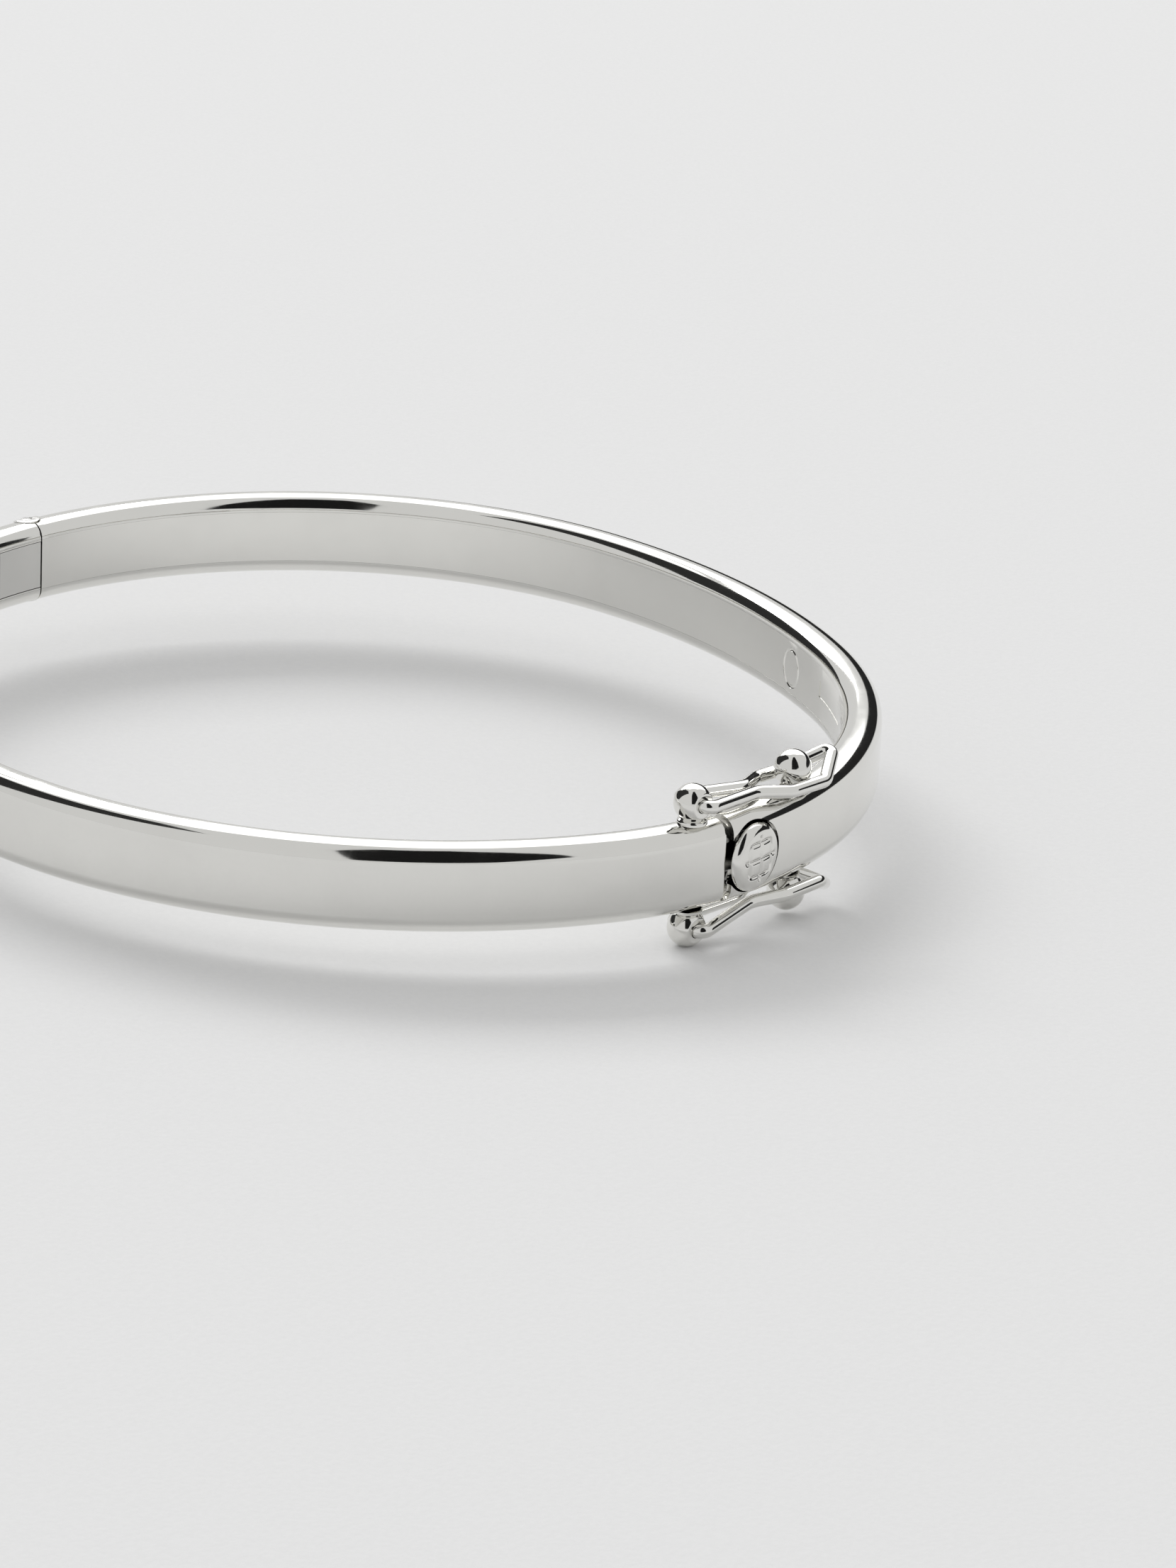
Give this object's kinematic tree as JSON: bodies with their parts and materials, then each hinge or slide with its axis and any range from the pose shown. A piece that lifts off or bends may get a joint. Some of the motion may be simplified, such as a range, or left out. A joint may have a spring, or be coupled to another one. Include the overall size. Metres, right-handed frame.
{
  "type": "hinged bangle bracelet",
  "caption": "Slim oval hinged bangle of hollow polished silver, with a tongue-and-box clasp, a thumb button and a figure-eight safety catch on each edge.",
  "frame": {"origin": "centre of the oval wrist opening, halfway up the band's width", "axes": "+X from the hinge towards the clasp, +Z along the band's width, +Y towards the back half that carries the clasp box"},
  "size_m": [0.0632, 0.0569, 0.0094],
  "materials": {
    "polished_silver": "mirror polished",
    "inner_silver": "polished, lightly worn by wear on the wrist",
    "clasp_silver": "bright, as filed and polished",
    "wire_silver": "mirror polished drawn wire"
  },
  "bodies": {
    "back_half": {"back_outer_shell": "polished_silver", "back_inner_liner": "inner_silver", "back_throat_plate": "clasp_silver", "back_strike_bar": "clasp_silver", "back_hinge_leaf": "clasp_silver", "hinge_pin": "clasp_silver", "top_stud_ball": "polished_silver", "bottom_stud_ball": "polished_silver"},
    "front_half": {"front_outer_shell": "polished_silver", "front_inner_liner": "inner_silver", "front_end_plate": "clasp_silver", "front_hinge_leaf": "clasp_silver", "tongue_base_leaf": "clasp_silver", "top_pivot_ball": "polished_silver", "bottom_pivot_ball": "polished_silver"},
    "latch": {"tongue_spring_leaf": "clasp_silver", "button_stem": "clasp_silver", "thumb_button": "polished_silver"},
    "top_catch": {"top_catch_wire": "wire_silver"},
    "bottom_catch": {"bottom_catch_wire": "wire_silver"}
  },
  "joints": [
    {"name": "bangle_hinge", "type": "hinge", "parent": "back_half", "child": "front_half", "pos_m": [-0.0305, -0.00058, 0], "axis": [0, 0, -1], "range_deg": [0, 60]},
    {"name": "button_press", "type": "hinge", "parent": "front_half", "child": "latch", "pos_m": [0.0299, 0.0052, 0], "axis": [0, 0, -1], "range_deg": [0, 5.5], "stiffness_Nm_per_rad": 0.2},
    {"name": "top_catch_swing", "type": "hinge", "parent": "front_half", "child": "top_catch", "pos_m": [0.03, -0.0025, 0.00364], "axis": [0.9984, 0.0558, 0], "range_deg": [0, 150]},
    {"name": "bottom_catch_swing", "type": "hinge", "parent": "front_half", "child": "bottom_catch", "pos_m": [0.03, -0.0025, -0.00364], "axis": [-0.9984, -0.0558, 0], "range_deg": [0, 150]}
  ]
}
